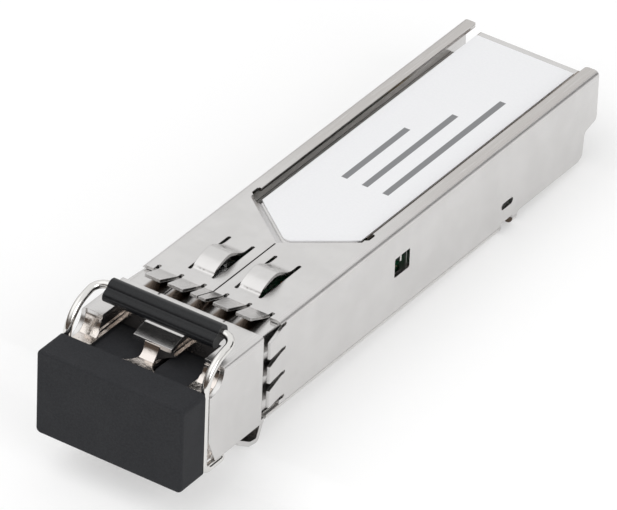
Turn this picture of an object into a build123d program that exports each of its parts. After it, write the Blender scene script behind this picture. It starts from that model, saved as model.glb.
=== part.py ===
# SFP transceiver with a duplex LC nose, a bail and a dust plug, in millimetres.
# X is the width, +Y points at the host edge, +Z is up.
# The origin is on the underside, in the plane of the stop that meets the cage's mouth.
from build123d import *
import os

os.makedirs("parts", exist_ok=True)

# Fits, and how far a cutting tool runs past the surface it opens
slip_fit = 0.02
running_fit = 0.03
seat_gap = 0.05
cut_reach = 1.0

# Housing behind the stop
body_width = 13.4
body_height = 8.5
body_length = 48.1
cover_sheet = 0.3
cover_bend = 0.45

# Cover walls and their lower edge
wall_foot = 0.62
rear_foot = 0.9
rear_foot_length = 11.6
rear_foot_ramp = 0.4
rear_corner_height = 3.87
rear_corner_setback = 1.75
rear_corner_drop = 0.46
rear_corner_radius = 0.45
rear_heel_setback = 1.93
rear_heel_height = 1.24
rear_heel_run = 0.6
window_y = 19.6
window_length = 2.15
window_z = 4.9
window_height = 1.8
window_radius = 0.15
window_tab_y = 19.75
window_tab_width = 0.2
window_tab_drop = 0.95
rear_slot_y = 34.95
rear_slot_length = 1.7
rear_slot_z = 2.45
rear_slot_height = 0.6

# Recessed label panel of the cover
panel_depth = 0.58
panel_width = 9.7
rail_width = 1.3
rail_end_radius = 0.3
panel_tip_y = 12.42
panel_slope_run = 1.0
panel_sweep = 0.77
panel_lip = 0.8
panel_lip_bend = 0.27
relief_inner_x = 4.62
relief_outer_x = 5.69
relief_front_y = 15.35
relief_rear_y = 17.1
relief_radius = 0.18
seam_width = 0.12
seam_gap_to_panel = 0.1

# Spring fingers at the cover's mouth
finger_root_y = 3.15
cover_mouth_y = 2.6
finger_length = 2.45
finger_sheet = 0.25
finger_bend = 0.3
finger_tip_lean = 0.08
slit_width = 0.3
slit_end_radius = 0.18
top_fingers = 5
top_finger_pitch = 2.18
top_finger_tip = 1.42
top_finger_rise = 0.75
side_fingers = 3
side_finger_pitch = 2.3
side_finger_tip = 1.55
side_finger_rise = 0.35
side_finger_z = 4.6

# Leaf springs, arched up out of the cover's top and joined to it at both ends
leaf_x = 2.24
leaf_width = 2.0
leaf_slit = 0.3
leaf_slit_front_y = 4.27
leaf_slit_rear_y = 9.93
leaf_front_y = 4.35
leaf_rear_y = 9.2
leaf_rise = 0.88
leaf_arch = [(0.165, 0.17), (0.33, 0.68), (0.5, 1.0), (0.66, 0.92), (0.845, 0.54), (0.93, 0.22)]

# Base tray
base_front_y = 0.9
base_floor = 0.7
base_edge_radius = 0.5
base_wall = 0.7
base_wall_top = 6.4
base_rear_y = 46.0
wing_clearance = 0.15
wall_lap = 0.2
ledge_width = 0.65
ledge_length = 2.0
ledge_inset = 1.0

# Cradle and clamp round the barrels
cradle_setback = 0.8
cradle_length = 1.6
cradle_margin = 0.4
clamp_top = 7.2
clamp_notch = 1.4
clamp_notch_drop = 1.2

# Locking boss and the room for the lever's prongs
boss_front_y = 2.5
boss_length = 2.6
boss_height = 0.45
boss_width = 2.4
boss_tip_width = 0.6
boss_land = 0.5
boss_tip_height = 0.1
prong_clearance = 0.15
prong_end_clearance = 0.2
tongue_recess = 0.15
tongue_recess_length = 1.5

# Nose
nose_width = 13.7
nose_height = 8.6
nose_sheet = 0.4
nose_floor_z = 1.25
side_plate_length = 7.2
side_plate_foot = 0.3
side_plate_heel_z = 2.6
side_plate_toe = 0.8
side_plate_toe_z = 0.68
scoop_radius = 1.8
scoop_y = -7.1
scoop_drop = 0.1
scoop_floor_z = 6.95
port_pitch = 6.25
port_size = 4.7
port_z = 4.4
port_depth = 9.5
slot_rear_y = -3.0
slot_width = 3.1
slot_step_width = 3.4
slot_step_z = 6.95
slot_top_width = 3.6
slot_top_z = 7.35
neck_radius = 1.55
neck_x = 2.2
neck_y = -5.75
bridge_width = 3.65
bridge_flat_y = -3.9
bridge_front_y = -5.35
bridge_drop = 0.4
shell_slot_margin = 0.225
shell_top_length = 5.2
core_rear_y = 2.9
core_step_y = -0.45
skirt_z = 0.45
joggle_run = 0.45
joggle_front_y = -0.25
join_foot_z = 1.3
wing_foot_z = 0.9
wing_drop = 0.1
bearing_width = 0.8
bearing_length = 1.4
bearing_drop = 0.55
bearing_radius = 0.5

# Optical subassemblies
ferrule_radius = 0.6265
stub_radius = 1.25
stub_length = 4.0
stub_chamfer = 0.15
barrel_radius = 1.95
barrel_length = 3.6
barrel_groove_depth = 0.35
barrel_groove_width = 0.4
barrel_groove_setback = 0.7
can_radius = 2.32
can_neck_radius = 1.9
can_length = 3.1
can_flange = 1.2
lead_radius = 0.2
lead_length = 0.7
lead_offset = 0.9
flex_width = 2.8
flex_sheet = 0.15
flex_bend = 0.35
flex_rise = 2.0
flex_lap = 2.0

# Dust plug
plug_overhang = 0.15
plug_depth = 3.05
plug_bottom = -0.17
plug_top = 7.68
plug_edge = 0.45
plug_face_edge = 0.27
plug_arm = 4.4
plug_arm_length = 8.9
plug_arm_edge = 0.3
plug_arm_chamfer = 0.25
plug_bore_radius = 1.65
plug_bore_length = 4.4

# Bail
bail_wire_radius = 0.35
bail_axis_y = -4.8
bail_axis_z = -0.1
bail_leg_inset = 0.25
bail_leg_rise = 0.7
bail_end_bend = 0.6
bail_elbow_bend = 0.8
bail_top_bend = 3.0
bail_corner_bend = 1.15
bail_cam_width = 0.95
bail_cam_half_height = 0.2
grip_inset = 1.3
grip_y = -3.5
grip_rise = 1.65
grip_rear_radius = 0.7
grip_front_radius = 0.55
grip_front_offset = 0.75
grip_front_drop = 0.42
grip_web_radius = 0.55

# Release lever
lever_sheet = 0.4
lever_pin_y = -2.2
lever_pin_z = 0.85
lever_pin_radius = 0.35
lever_eye = 0.28
lever_eye_gap = 0.1
lever_front_y = -6.3
lever_knee_y = -3.4
lever_low_y = -1.2
lever_low_z = -1.1
lever_heel_y = -0.15
lever_heel_z = -1.3
lever_rise_y = 0.5
lever_bend = 0.3
lever_inset = 0.25
lever_neck_inset = 2.15
lever_neck_gap = 0.2
lever_wide_from_y = -2.8
ear_toe = 1.2
ear_depth = 0.75
ear_front = 0.5
ear_front_rise = 0.3
ear_back = 0.55
prong_x = 2.3
prong_width = 1.4
prong_end_y = 4.9

# Leaf between the nose and the lever
spring_sheet = 0.15
spring_width = 3.0
spring_gap = 0.1
spring_bend = 0.25
spring_front = 0.2
spring_ramp = 1.0
spring_land = 0.75

# Circuit board
board_front_y = 11.5
board_setback = 3.2
board_z = 2.25
board_thickness = 1.0
board_width = 10.8
edge_width = 9.2
edge_length = 8.0
edge_corner = 0.4
contact_count = 10
contact_pitch = 0.8
contact_width = 0.6
contact_length = 2.9
contact_short = 0.5
contact_thickness = 0.05
contact_edge_gap = 0.35

# Packages: x, distance behind the board's front, length, width, height
driver_package = (-2.6, 5.5, 4.0, 4.0, 0.85)
amplifier_package = (2.7, 5.2, 3.0, 3.0, 0.85)
controller_package = (-1.8, 13.5, 5.0, 5.0, 0.9)
memory_package = (2.9, 19.5, 4.9, 3.0, 1.1)
package_chamfer = 0.1
memory_leads = 4
memory_lead_pitch = 1.27
lead_foot_length = 0.7
lead_foot_width = 0.24
lead_foot_height = 0.15

# Small parts: rows behind the board's front, places across, then length, width, height
capacitor_rows = (9.0, 10.4)
capacitor_places = (-4.2, -2.6, 1.2, 2.8, 4.3)
capacitor_size = (1.0, 0.5, 0.5)
resistor_row = 17.6
resistor_places = (-4.4, -3.2, -2.0, -0.8)
resistor_size = (1.0, 0.5, 0.35)
inductor_row = 20.6
inductor_places = (-3.4, -1.0)
inductor_size = (2.0, 1.6, 1.5)

# Label
label_thickness = 0.1
label_margin = 0.06
label_front_gap = 0.25
label_tip_radius = 0.85
label_tail = 0.9

# Values that follow from the ones above
half_width = body_width / 2
half_nose = nose_width / 2
half_panel = panel_width / 2
half_port = port_size / 2
inner_half_width = half_width - cover_sheet
inner_top = body_height - cover_sheet
tray_half_width = inner_half_width - slip_fit
core_half_width = half_nose - nose_sheet - slip_fit
core_rear_half_width = min(core_half_width, inner_half_width - nose_sheet - 2 * seat_gap)
core_top = nose_height - nose_sheet - slip_fit
shell_under = nose_height - nose_sheet
joggle_top = inner_top - seat_gap
core_rear_top = min(shell_under, joggle_top - nose_sheet) - seat_gap
above = max(body_height, nose_height) + cut_reach
beside = max(half_width, half_nose) + cut_reach
nose_length = side_plate_length + 2 * bail_wire_radius + 2 * seat_gap
bail_leg_x = half_nose - bail_leg_inset
bail_leg_y = -side_plate_length - bail_wire_radius - seat_gap
bail_leg_top = nose_height + bail_leg_rise
grip_z = nose_height + grip_rise
scoop_z = nose_height - scoop_drop
board_top = board_z + board_thickness
board_end_y = body_length - board_setback
panel_top = body_height - panel_depth
rail_inner_x = half_width - rail_width
rear_step_y = body_length - rear_foot_length
rear_slot_front_y = rear_slot_y - rear_slot_length / 2
rear_slot_end_y = rear_slot_y + rear_slot_length / 2
port_x = port_pitch / 2
port_rear_y = port_depth - nose_length
barrel_y = core_rear_y + slip_fit
cradle_y = barrel_y + cradle_setback
cradle_half_width = port_x + barrel_radius + cradle_margin
can_y = barrel_y + barrel_length
flex_y = can_y + can_length
lever_plate_z = bail_axis_z + bail_cam_half_height + running_fit + lever_sheet / 2
lever_half_width = half_nose - lever_inset
lever_neck = half_nose - lever_neck_inset
plug_rear_y = -nose_length - slip_fit


def save(node, *shapes):
    """Write one node, made of one solid or of several that lie apart."""
    solids = [solid for shape in shapes for solid in shape.solids()]
    export_step(Compound(children=solids), f"parts/{node}.step")
    print(node, len(solids))


def block(x0, x1, y0, y1, z0, z1):
    """A box between two corners."""
    box = Box(x1 - x0, y1 - y0, z1 - z0)
    return Pos((x0 + x1) / 2, (y0 + y1) / 2, (z0 + z1) / 2) * box


def across(half, y0, y1, z0, z1):
    """A box that lies evenly about the middle plane."""
    return block(-half, half, y0, y1, z0, z1)


def side_prism(points, x0, x1):
    """A side outline in (y, z), drawn out across the width."""
    face = make_face(Polyline(*points, close=True))
    return extrude(Plane.YZ.offset(x0) * face, amount=x1 - x0)


def plan_prism(points, z0, z1):
    """A plan outline in (x, y), drawn out upwards."""
    face = make_face(Polyline(*points, close=True))
    return extrude(Pos(0, 0, z0) * face, amount=z1 - z0)


def bent_strip(points, bend, sheet, x0, x1):
    """A strip of sheet folded along (y, z) points, drawn out across the width."""
    face = trace(FilletPolyline(*points, radius=bend), sheet)
    return extrude(Plane.YZ.offset(x0) * face, amount=x1 - x0)


def rod_x(radius, x0, x1, y, z):
    """A round bar across the width."""
    return Pos((x0 + x1) / 2, y, z) * Rot(0, 90, 0) * Cylinder(radius, x1 - x0)


def rod_y(radius, x, y0, y1, z):
    """A round bar along the length."""
    return Pos(x, (y0 + y1) / 2, z) * Rot(90, 0, 0) * Cylinder(radius, y1 - y0)


def rod_z(radius, x, y, z0, z1):
    """An upright round bar."""
    return Pos(x, y, (z0 + z1) / 2) * Cylinder(radius, z1 - z0)


def both_sides(shape):
    """A shape and its mirror image in the middle plane."""
    return shape + mirror(shape, about=Plane.YZ)


# Cover
def panel_trough(half, drop):
    """The space above the label panel, with its V-shaped ramp, lowered by drop."""
    def outline(run, z):
        front = panel_tip_y - run
        corner = front + panel_sweep * half
        end = body_length + cut_reach
        points = [(0, front), (half, corner), (half, end), (-half, end), (-half, corner)]
        return Pos(0, 0, z - drop) * make_face(Polyline(*points, close=True))
    ramp = loft([outline(0, panel_top), outline(panel_slope_run, body_height)], ruled=True)
    if drop > 0:
        return ramp
    return ramp + extrude(outline(panel_slope_run, body_height), amount=cut_reach)


def finger(root, tip, rise):
    """One spring finger, which points at -Y and rises from its root at the origin."""
    top = [(0, 0), (-finger_bend, 0), (-finger_length, rise)]
    under = [(-finger_length - finger_tip_lean, rise - finger_sheet), (-finger_bend, -cover_sheet)]
    strip = side_prism(top + under + [(0, -cover_sheet)], -root / 2, root / 2)
    far = -finger_length - 2 * finger_tip_lean
    taper = [(-root / 2, 0), (-tip / 2, far), (tip / 2, far), (root / 2, 0)]
    return strip & plan_prism(taper, -cut_reach, cut_reach)


def finger_row():
    """The fingers along the top and down both sides of the mouth."""
    top_root = top_finger_pitch - slit_width
    side_root = side_finger_pitch - slit_width
    row = []
    for index in range(top_fingers):
        x = (index - (top_fingers - 1) / 2) * top_finger_pitch
        one = finger(top_root, top_finger_tip, top_finger_rise)
        row.append(Pos(x, finger_root_y, body_height) * one)
    for index in range(side_fingers):
        z = side_finger_z + (index - (side_fingers - 1) / 2) * side_finger_pitch
        one = Rot(0, 90, 0) * finger(side_root, side_finger_tip, side_finger_rise)
        row.append(Pos(half_width, finger_root_y, z) * one)
        row.append(mirror(row[-1], about=Plane.YZ))
    return row


def mouth_cuts():
    """The gaps that part the fingers, with their round ends."""
    cuts = []
    half_slit = slit_width / 2
    low = inner_top - cut_reach
    mouth_top = top_fingers * top_finger_pitch / 2
    mouth_side = side_fingers * side_finger_pitch / 2
    cuts.append(across(mouth_top - half_slit, 0, finger_root_y, low, above))
    side_low = side_finger_z - mouth_side + half_slit
    side_high = side_finger_z + mouth_side - half_slit
    cuts.append(across(beside, 0, finger_root_y, side_low, side_high))
    for index in range(top_fingers + 1):
        x = (index - top_fingers / 2) * top_finger_pitch
        cuts.append(block(x - half_slit, x + half_slit, 0, finger_root_y, low, above))
        cuts.append(rod_z(slit_end_radius, x, finger_root_y, low, above))
    for index in range(side_fingers + 1):
        z = side_finger_z + (index - side_fingers / 2) * side_finger_pitch
        cuts.append(across(beside, 0, finger_root_y, z - half_slit, z + half_slit))
        cuts.append(rod_x(slit_end_radius, -beside, beside, finger_root_y, z))
    return cuts


def leaf_window(x):
    """The opening under one leaf spring, with a round-ended slit on each side."""
    half = leaf_width / 2
    low = inner_top - cut_reach
    window = block(x - half, x + half, leaf_front_y, leaf_rear_y, low, above)
    end_radius = leaf_slit / 2
    for side in (-1, 1):
        slit_x = x + side * (half + end_radius)
        front = leaf_slit_front_y + end_radius
        rear = leaf_slit_rear_y - end_radius
        window += block(slit_x - end_radius, slit_x + end_radius, front, rear, low, above)
        window += rod_z(end_radius, slit_x, front, low, above)
        window += rod_z(end_radius, slit_x, rear, low, above)
    return window


def leaf(x):
    """One leaf spring: an arch of sheet, steeper at the front than at the rear."""
    length = leaf_rear_y - leaf_front_y
    points = [(leaf_rear_y - along * length, body_height + up * leaf_rise) for along, up in leaf_arch]
    points = [(leaf_rear_y, body_height)] + points + [(leaf_front_y, body_height)]
    top = Spline(*points, tangents=[(-1, 0), (-1, 0)])
    under = Pos(0, -cover_sheet) * top
    ends = [Line(top @ 0, under @ 0), Line(top @ 1, under @ 1)]
    face = make_face([top.edge(), ends[1].edge(), under.edge(), ends[0].edge()])
    return extrude(Plane.YZ.offset(x - leaf_width / 2) * face, amount=leaf_width)


def cover_foot():
    """What is cut away below and behind the cover's walls, with rounded corners."""
    end = body_length
    points = [
        (0, -cut_reach), (0, wall_foot), (rear_step_y - rear_foot_ramp / 4, wall_foot),
        (rear_step_y + rear_foot_ramp * 3 / 4, rear_foot),
        (end - rear_heel_setback - rear_heel_run, rear_foot),
        (end - rear_heel_setback, rear_heel_height),
        (end - rear_corner_setback, rear_corner_height - rear_corner_drop),
        (end, rear_corner_height), (end, above),
        (end + 2 * cut_reach, above), (end + 2 * cut_reach, -cut_reach),
    ]
    foot = side_prism(points, -beside, beside)
    corners = foot.edges().filter_by(Axis.X).filter_by(
        lambda edge: edge.center().Y < end + 0.01 and rear_foot + 0.01 < edge.center().Z < above - 0.01
    )
    return fillet(corners, rear_corner_radius)


def cover_panel():
    """The sunk panel with its ramp and the lip turned down at its end."""
    panel = panel_trough(half_panel, cover_sheet) - panel_trough(half_width, 0)
    panel -= across(half_width, body_length, body_length + 2 * cut_reach, 0, body_height)
    panel += across(half_panel, body_length - cover_sheet, body_length, panel_top - panel_lip, panel_top)
    corner = panel.edges().filter_by(Axis.X).group_by(Axis.Y)[-1].sort_by(Axis.Z)[-1]
    return fillet(corner, panel_lip_bend)


def relief_cuts():
    """The holes at the ramp's corners and the gaps between the panel and the rails."""
    low = panel_top - cut_reach
    sweep = panel_sweep * (relief_outer_x - relief_inner_x)
    outline = [
        (relief_inner_x, relief_front_y), (relief_outer_x, relief_front_y + sweep),
        (relief_outer_x, relief_rear_y), (relief_inner_x, relief_rear_y),
    ]
    hole = plan_prism(outline, low, above)
    hole = fillet(hole.edges().filter_by(Axis.Z), relief_radius)
    gap_end = body_length + cut_reach
    gap = block(half_panel, rail_inner_x, relief_rear_y - relief_radius, gap_end, low, above)
    return both_sides(hole) + both_sides(gap)


def top_cover():
    """The folded cover: walls, spring fingers, leaf springs and label panel."""
    outer = across(half_width, cover_mouth_y, body_length + cut_reach, 0, body_height)
    outer = fillet(outer.edges().filter_by(Axis.Y).group_by(Axis.Z)[-1], cover_bend)
    inner = across(inner_half_width, 0, body_length + 2 * cut_reach, -cut_reach, inner_top)
    inner = fillet(inner.edges().filter_by(Axis.Y).group_by(Axis.Z)[-1], cover_bend - cover_sheet)
    cover = outer - inner - cover_foot()
    cover -= panel_trough(rail_inner_x, 0)
    rail_ends = cover.edges().filter_by(Axis.Z).filter_by(
        lambda edge: edge.center().Y > body_length - 0.01 and abs(edge.center().X) < rail_inner_x + 0.01
    )
    cover = fillet(rail_ends, rail_end_radius)
    cover += cover_panel()
    cover -= relief_cuts()
    for cut in mouth_cuts():
        cover -= cut
    for x in (-leaf_x, leaf_x):
        cover -= leaf_window(x)
        cover += leaf(x)
    for one in finger_row():
        cover += one
    seam_front = finger_root_y - finger_length - cut_reach
    seam_end = panel_tip_y - panel_slope_run - seam_gap_to_panel
    cover -= across(seam_width / 2, seam_front, seam_end, inner_top - cut_reach, above)
    window = Pos(0, window_y, window_z) * Box(2 * beside, window_length, window_height)
    cover -= fillet(window.edges().filter_by(Axis.X), window_radius)
    slot = Pos(0, rear_slot_y, rear_slot_z) * Box(2 * beside, rear_slot_length, rear_slot_height)
    cover -= fillet(slot.edges().filter_by(Axis.X), rear_slot_height * 0.45)
    cover -= across(beside, rear_slot_front_y, rear_slot_end_y, -cut_reach, rear_foot)
    return cover


# Base tray
def tray_wall():
    """The tray's right wall: board ledges, the window with its tab, and the rear slot."""
    outer = tray_half_width
    inner = outer - base_wall
    lap = rear_foot + wall_lap
    wall = block(inner, outer, finger_root_y + wing_clearance, base_rear_y, lap, base_wall_top)
    wall += block(inner, outer, finger_root_y + wing_clearance, rear_step_y, base_floor, lap)
    first_ledge = board_front_y + ledge_inset
    last_ledge = rear_step_y - ledge_inset - ledge_length
    for y in (first_ledge, (first_ledge + last_ledge) / 2, last_ledge):
        wall += block(inner - ledge_width, inner, y, y + ledge_length, base_floor, board_z - slip_fit)
    window_top = window_z + window_height / 2
    window_front = window_y - window_length / 2
    opening = block(inner - cut_reach, outer + cut_reach, window_front, window_front + window_length,
                    board_top, window_top)
    tab = block(outer - cover_sheet, outer, window_tab_y, window_tab_y + window_tab_width,
                window_top - window_tab_drop, window_top)
    slot = Pos(outer, rear_slot_y, rear_slot_z) * Box(2 * cut_reach, rear_slot_length, rear_slot_height)
    return wall - opening + tab - slot


def locking_boss():
    """The tapered boss under the floor, with the ramp that the cage's latch climbs."""
    half = boss_width / 2
    half_tip = boss_tip_width / 2
    tip = boss_front_y + boss_length
    corner = boss_front_y + boss_land
    outline = [(-half, boss_front_y), (half, boss_front_y), (half_tip, tip), (-half_tip, tip)]
    boss = plan_prism(outline, -boss_height, base_floor)
    ramp = [
        (corner, -boss_height), (tip, -boss_tip_height), (tip + cut_reach, -cut_reach), (corner, -cut_reach),
    ]
    return boss - side_prism(ramp, -half, half)


def base_housing():
    """The tray under the cover: floor, walls, board ledges, cradle and locking boss."""
    floor = across(half_width, base_front_y, rear_step_y, 0, wall_foot - slip_fit)
    floor = fillet(floor.edges().filter_by(Axis.Y).group_by(Axis.Z)[0], base_edge_radius)
    tray = floor + across(tray_half_width, base_front_y, rear_step_y, wall_foot - slip_fit, base_floor)
    tray += both_sides(tray_wall())
    inner = tray_half_width - base_wall
    tray -= both_sides(block(inner, beside, rear_slot_front_y, rear_slot_end_y, -cut_reach, rear_foot))
    cradle_top = port_z - slip_fit
    cradle = across(cradle_half_width, cradle_y, cradle_y + cradle_length, base_floor, cradle_top)
    cradle -= across(port_x - barrel_radius, 0, board_front_y, base_floor, board_z)
    for x in (-port_x, port_x):
        cradle -= rod_y(barrel_radius + slip_fit, x, 0, board_front_y, port_z)
    tray += cradle
    prong = prong_width / 2 + prong_clearance
    for x in (-prong_x, prong_x):
        prong_end = prong_end_y + prong_end_clearance
        tray -= block(x - prong, x + prong, 0, prong_end, -cut_reach, base_floor + cut_reach)
    tongue = prong_x + prong + prong_clearance
    tray -= across(tongue, 0, prong_end_y + tongue_recess_length, -cut_reach, tongue_recess)
    return tray + locking_boss()


# Nose
def scoop(half):
    """The round hollow across the nose's front that the bail's wire lies in."""
    return rod_x(scoop_radius, -half, half, scoop_y, scoop_z)


def bridge_outline(under, lift):
    """The side outline of the sloping bridge, from its underside up by lift."""
    drop = bridge_drop
    return [
        (slot_rear_y, under), (bridge_flat_y, under), (bridge_front_y, under - drop),
        (bridge_front_y, under - drop + lift), (bridge_flat_y, under + lift), (slot_rear_y, under + lift),
    ]


def port_space(x):
    """One port with its stepped latch slot and the bore for the ferrule stub."""
    front = -nose_length - cut_reach
    space = block(x - half_port, x + half_port, front, port_rear_y, port_z - half_port, port_z + half_port)
    for width, low in ((slot_width, port_z), (slot_step_width, slot_step_z), (slot_top_width, slot_top_z)):
        space += block(x - width / 2, x + width / 2, front, slot_rear_y, low, above)
    return space + rod_y(stub_radius + slip_fit, x, port_rear_y - cut_reach, core_rear_y + cut_reach, port_z)


def nose_core():
    """The cast nose: two LC ports, their latch slots, and the lever's and bail's bearings."""
    front = -nose_length
    wide = core_half_width + cut_reach
    core = across(core_half_width, front, core_step_y, nose_floor_z, core_top)
    core += across(core_rear_half_width, core_step_y, core_rear_y, nose_floor_z, core_rear_top)
    skirt_front = -side_plate_length + nose_sheet
    skirt = block(port_x + half_port, core_half_width, skirt_front, core_step_y, skirt_z, nose_floor_z)
    lug_x = lever_neck + lever_neck_gap
    half_lug = bearing_length / 2
    lug = block(lug_x, lug_x + bearing_width, bail_axis_y - half_lug, bail_axis_y + half_lug,
                bail_axis_z - bearing_drop, nose_floor_z)
    lug = fillet(lug.edges().filter_by(Axis.X).group_by(Axis.Z)[0], bearing_radius)
    core += both_sides(skirt + lug)
    core -= across(lug_x, front - cut_reach, 0, -cut_reach, nose_floor_z)
    core -= rod_x(bail_wire_radius + running_fit, -wide, wide, bail_axis_y, bail_axis_z)
    core -= rod_x(lever_pin_radius + slip_fit / 2, -wide, wide, lever_pin_y, lever_pin_z)
    ear_x = lever_neck - lever_sheet
    eye = lever_pin_radius + lever_eye + lever_eye_gap
    core -= both_sides(rod_x(eye, ear_x - lever_sheet, ear_x + lever_sheet, lever_pin_y, lever_pin_z))
    leg_gap = bail_leg_x - bail_wire_radius - seat_gap
    leg_rear = bail_leg_y + bail_wire_radius + seat_gap
    core -= both_sides(block(leg_gap, beside, front - cut_reach, leg_rear, -cut_reach, above))
    core -= scoop(wide) & across(wide, front - cut_reach, slot_rear_y, scoop_floor_z, above)
    under_bridge = bridge_outline(core_top, cut_reach)
    core -= side_prism(under_bridge, -bridge_width / 2, bridge_width / 2)
    for x in (-port_x, port_x):
        core -= port_space(x)
    for x in (-neck_x, neck_x):
        core -= rod_z(neck_radius, x, neck_y, port_z + half_port, above)
    return core


def nose_shell():
    """The folded plate round the nose: side plates, bridged top and the joggled rear."""
    toe = -side_plate_length + side_plate_toe
    side = [
        (0, side_plate_foot), (0, nose_height), (-side_plate_length, nose_height),
        (-side_plate_length, side_plate_heel_z), (toe, side_plate_toe_z),
        (toe + side_plate_toe / 4, side_plate_foot),
    ]
    plate = side_prism(side, half_nose - nose_sheet, half_nose)
    wing_x = inner_half_width - seat_gap
    wing_top = joggle_top - seat_gap
    wing = block(wing_x - nose_sheet, wing_x, 0, finger_root_y, wing_foot_z, wing_top)
    join = plan_prism(
        [(half_nose - nose_sheet, -nose_sheet), (half_nose, -nose_sheet), (half_nose, -slip_fit),
         (wing_x, joggle_run / 2), (wing_x - nose_sheet, joggle_run / 2), (wing_x - nose_sheet, wing_drop)],
        join_foot_z, min(wing_top, shell_under),
    )
    shell = across(half_nose, -shell_top_length, 0, shell_under, nose_height)
    shell += both_sides(plate + wing + join)
    joggle_under = joggle_top - nose_sheet
    joggle = [
        (joggle_front_y, nose_height), (0, nose_height), (joggle_run, joggle_top),
        (finger_root_y, joggle_top), (finger_root_y, joggle_under), (joggle_run - wing_drop, joggle_under),
        (joggle_front_y, shell_under),
    ]
    shell += side_prism(joggle, -wing_x, wing_x)
    outer_edges = shell.edges().filter_by(Axis.Y).filter_by(
        lambda edge: edge.center().Z > nose_height - 0.01 and abs(abs(edge.center().X) - half_nose) < 0.01
    )
    shell = fillet(outer_edges, nose_sheet * 0.6)
    slot_outer = port_x + slot_width / 2 + shell_slot_margin
    shell -= across(slot_outer, -nose_length, slot_rear_y, shell_under - cut_reach, above)
    shell -= scoop(beside)
    shell += side_prism(bridge_outline(shell_under, nose_sheet), -bridge_width / 2, bridge_width / 2)
    left, right = port_x - seam_width / 2, port_x + seam_width / 2
    slit = block(left, right, joggle_front_y, finger_root_y + cut_reach, inner_top - cut_reach, above)
    return shell - both_sides(slit)


# Optics
def optical_parts():
    """One subassembly: ferrule stub, barrel, metal can and flexible tail, centred on x = 0."""
    stub_front = port_rear_y - stub_length
    stub = rod_y(stub_radius, 0, stub_front, core_rear_y, port_z)
    stub = chamfer(stub.faces().sort_by(Axis.Y)[0].edges(), stub_chamfer)
    stub -= rod_y(ferrule_radius, 0, stub_front - cut_reach, port_rear_y, port_z)
    barrel = rod_y(barrel_radius, 0, barrel_y, can_y, port_z)
    groove_end = can_y - barrel_groove_setback
    groove_start = groove_end - barrel_groove_width
    groove = rod_y(barrel_radius + cut_reach, 0, groove_start, groove_end, port_z)
    barrel -= groove - rod_y(barrel_radius - barrel_groove_depth, 0, groove_start, groove_end, port_z)
    can = rod_y(can_radius, 0, flex_y - can_flange, flex_y, port_z)
    can += rod_y(can_neck_radius, 0, can_y, flex_y, port_z)
    tail_y = flex_y + flex_sheet / 2 + slip_fit
    tail_z = board_top + flex_sheet / 2 + slip_fit
    path = [(tail_y, port_z + flex_rise), (tail_y, tail_z), (board_front_y + flex_lap, tail_z)]
    tail = bent_strip(path, flex_bend, flex_sheet, -flex_width / 2, flex_width / 2)
    for x in (-lead_offset, lead_offset):
        for z in (port_z - lead_offset, port_z + lead_offset):
            can += rod_y(lead_radius, x, flex_y - lead_radius, flex_y + lead_length, z)
            tail -= rod_y(lead_radius + slip_fit, x, flex_y - cut_reach, flex_y + cut_reach, z)
    return stub, barrel, can, tail


def optics_clamp():
    """The saddle that holds both barrels down in the cradle."""
    clamp = across(cradle_half_width, cradle_y, cradle_y + cradle_length, port_z + slip_fit, clamp_top)
    for x in (-port_x, port_x):
        clamp -= rod_y(barrel_radius + slip_fit, x, 0, board_front_y, port_z)
    return clamp - across(clamp_notch / 2, 0, board_front_y, clamp_top - clamp_notch_drop, above)


# Circuit board and what it carries
def circuit_board():
    """The board, with the narrower edge that the host's socket takes."""
    board = across(board_width / 2, board_front_y, board_end_y - edge_length, board_z, board_top)
    edge = across(edge_width / 2, board_front_y, board_end_y, board_z, board_top)
    edge = chamfer(edge.edges().filter_by(Axis.Z).group_by(Axis.Y)[-1], edge_corner)
    return board + edge


def edge_contacts(z):
    """One row of gold contacts, some of them a little shorter."""
    row = []
    half = contact_width / 2
    for index in range(contact_count):
        x = (index - (contact_count - 1) / 2) * contact_pitch
        end = board_end_y - contact_edge_gap
        if index % 3 == 1:
            end -= contact_short
        row.append(block(x - half, x + half, end - contact_length, end, z, z + contact_thickness))
    return row


def on_board(x, behind_front, length, width, height):
    """A box on the board's top, centred at x and at a distance behind the board's front."""
    y = board_front_y + behind_front
    return block(x - width / 2, x + width / 2, y - length / 2, y + length / 2, board_top, board_top + height)


def chip(package):
    """A moulded package with its upper edges bevelled."""
    body = on_board(*package)
    return chamfer(body.faces().sort_by(Axis.Z)[-1].edges(), package_chamfer)


def leaded_chip(package, leads, pitch):
    """A package with gull-wing leads along two sides."""
    body = chip(package)
    x, behind_front, _, width, _ = package
    for index in range(leads):
        lead_y = behind_front + (index - (leads - 1) / 2) * pitch
        for side in (-1, 1):
            foot_x = x + side * (width + lead_foot_length / 2) / 2
            body += on_board(foot_x, lead_y, lead_foot_width, lead_foot_length, lead_foot_height)
    return body


def small_parts(rows, places, size):
    """Small two-ended parts, each along the board, in rows across it."""
    return [on_board(x, row, *size) for row in rows for x in places]


# Release lever
def lever_ear(x):
    """One upright ear with the pin's hole."""
    low = lever_plate_z
    foot = low - ear_depth
    back = lever_pin_y + ear_back
    half = lever_sheet / 2
    outline = [
        (lever_knee_y - ear_toe, low), (lever_knee_y, low), (lever_pin_y, foot), (back, foot),
        (back, lever_pin_z), (lever_pin_y - ear_front, lever_pin_z + ear_front_rise),
    ]
    ear = side_prism(outline, x - half, x + half)
    ear += rod_x(lever_pin_radius + lever_eye, x - half, x + half, lever_pin_y, lever_pin_z)
    return ear - rod_x(lever_pin_radius + running_fit, x - cut_reach, x + cut_reach, lever_pin_y, lever_pin_z)


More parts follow.
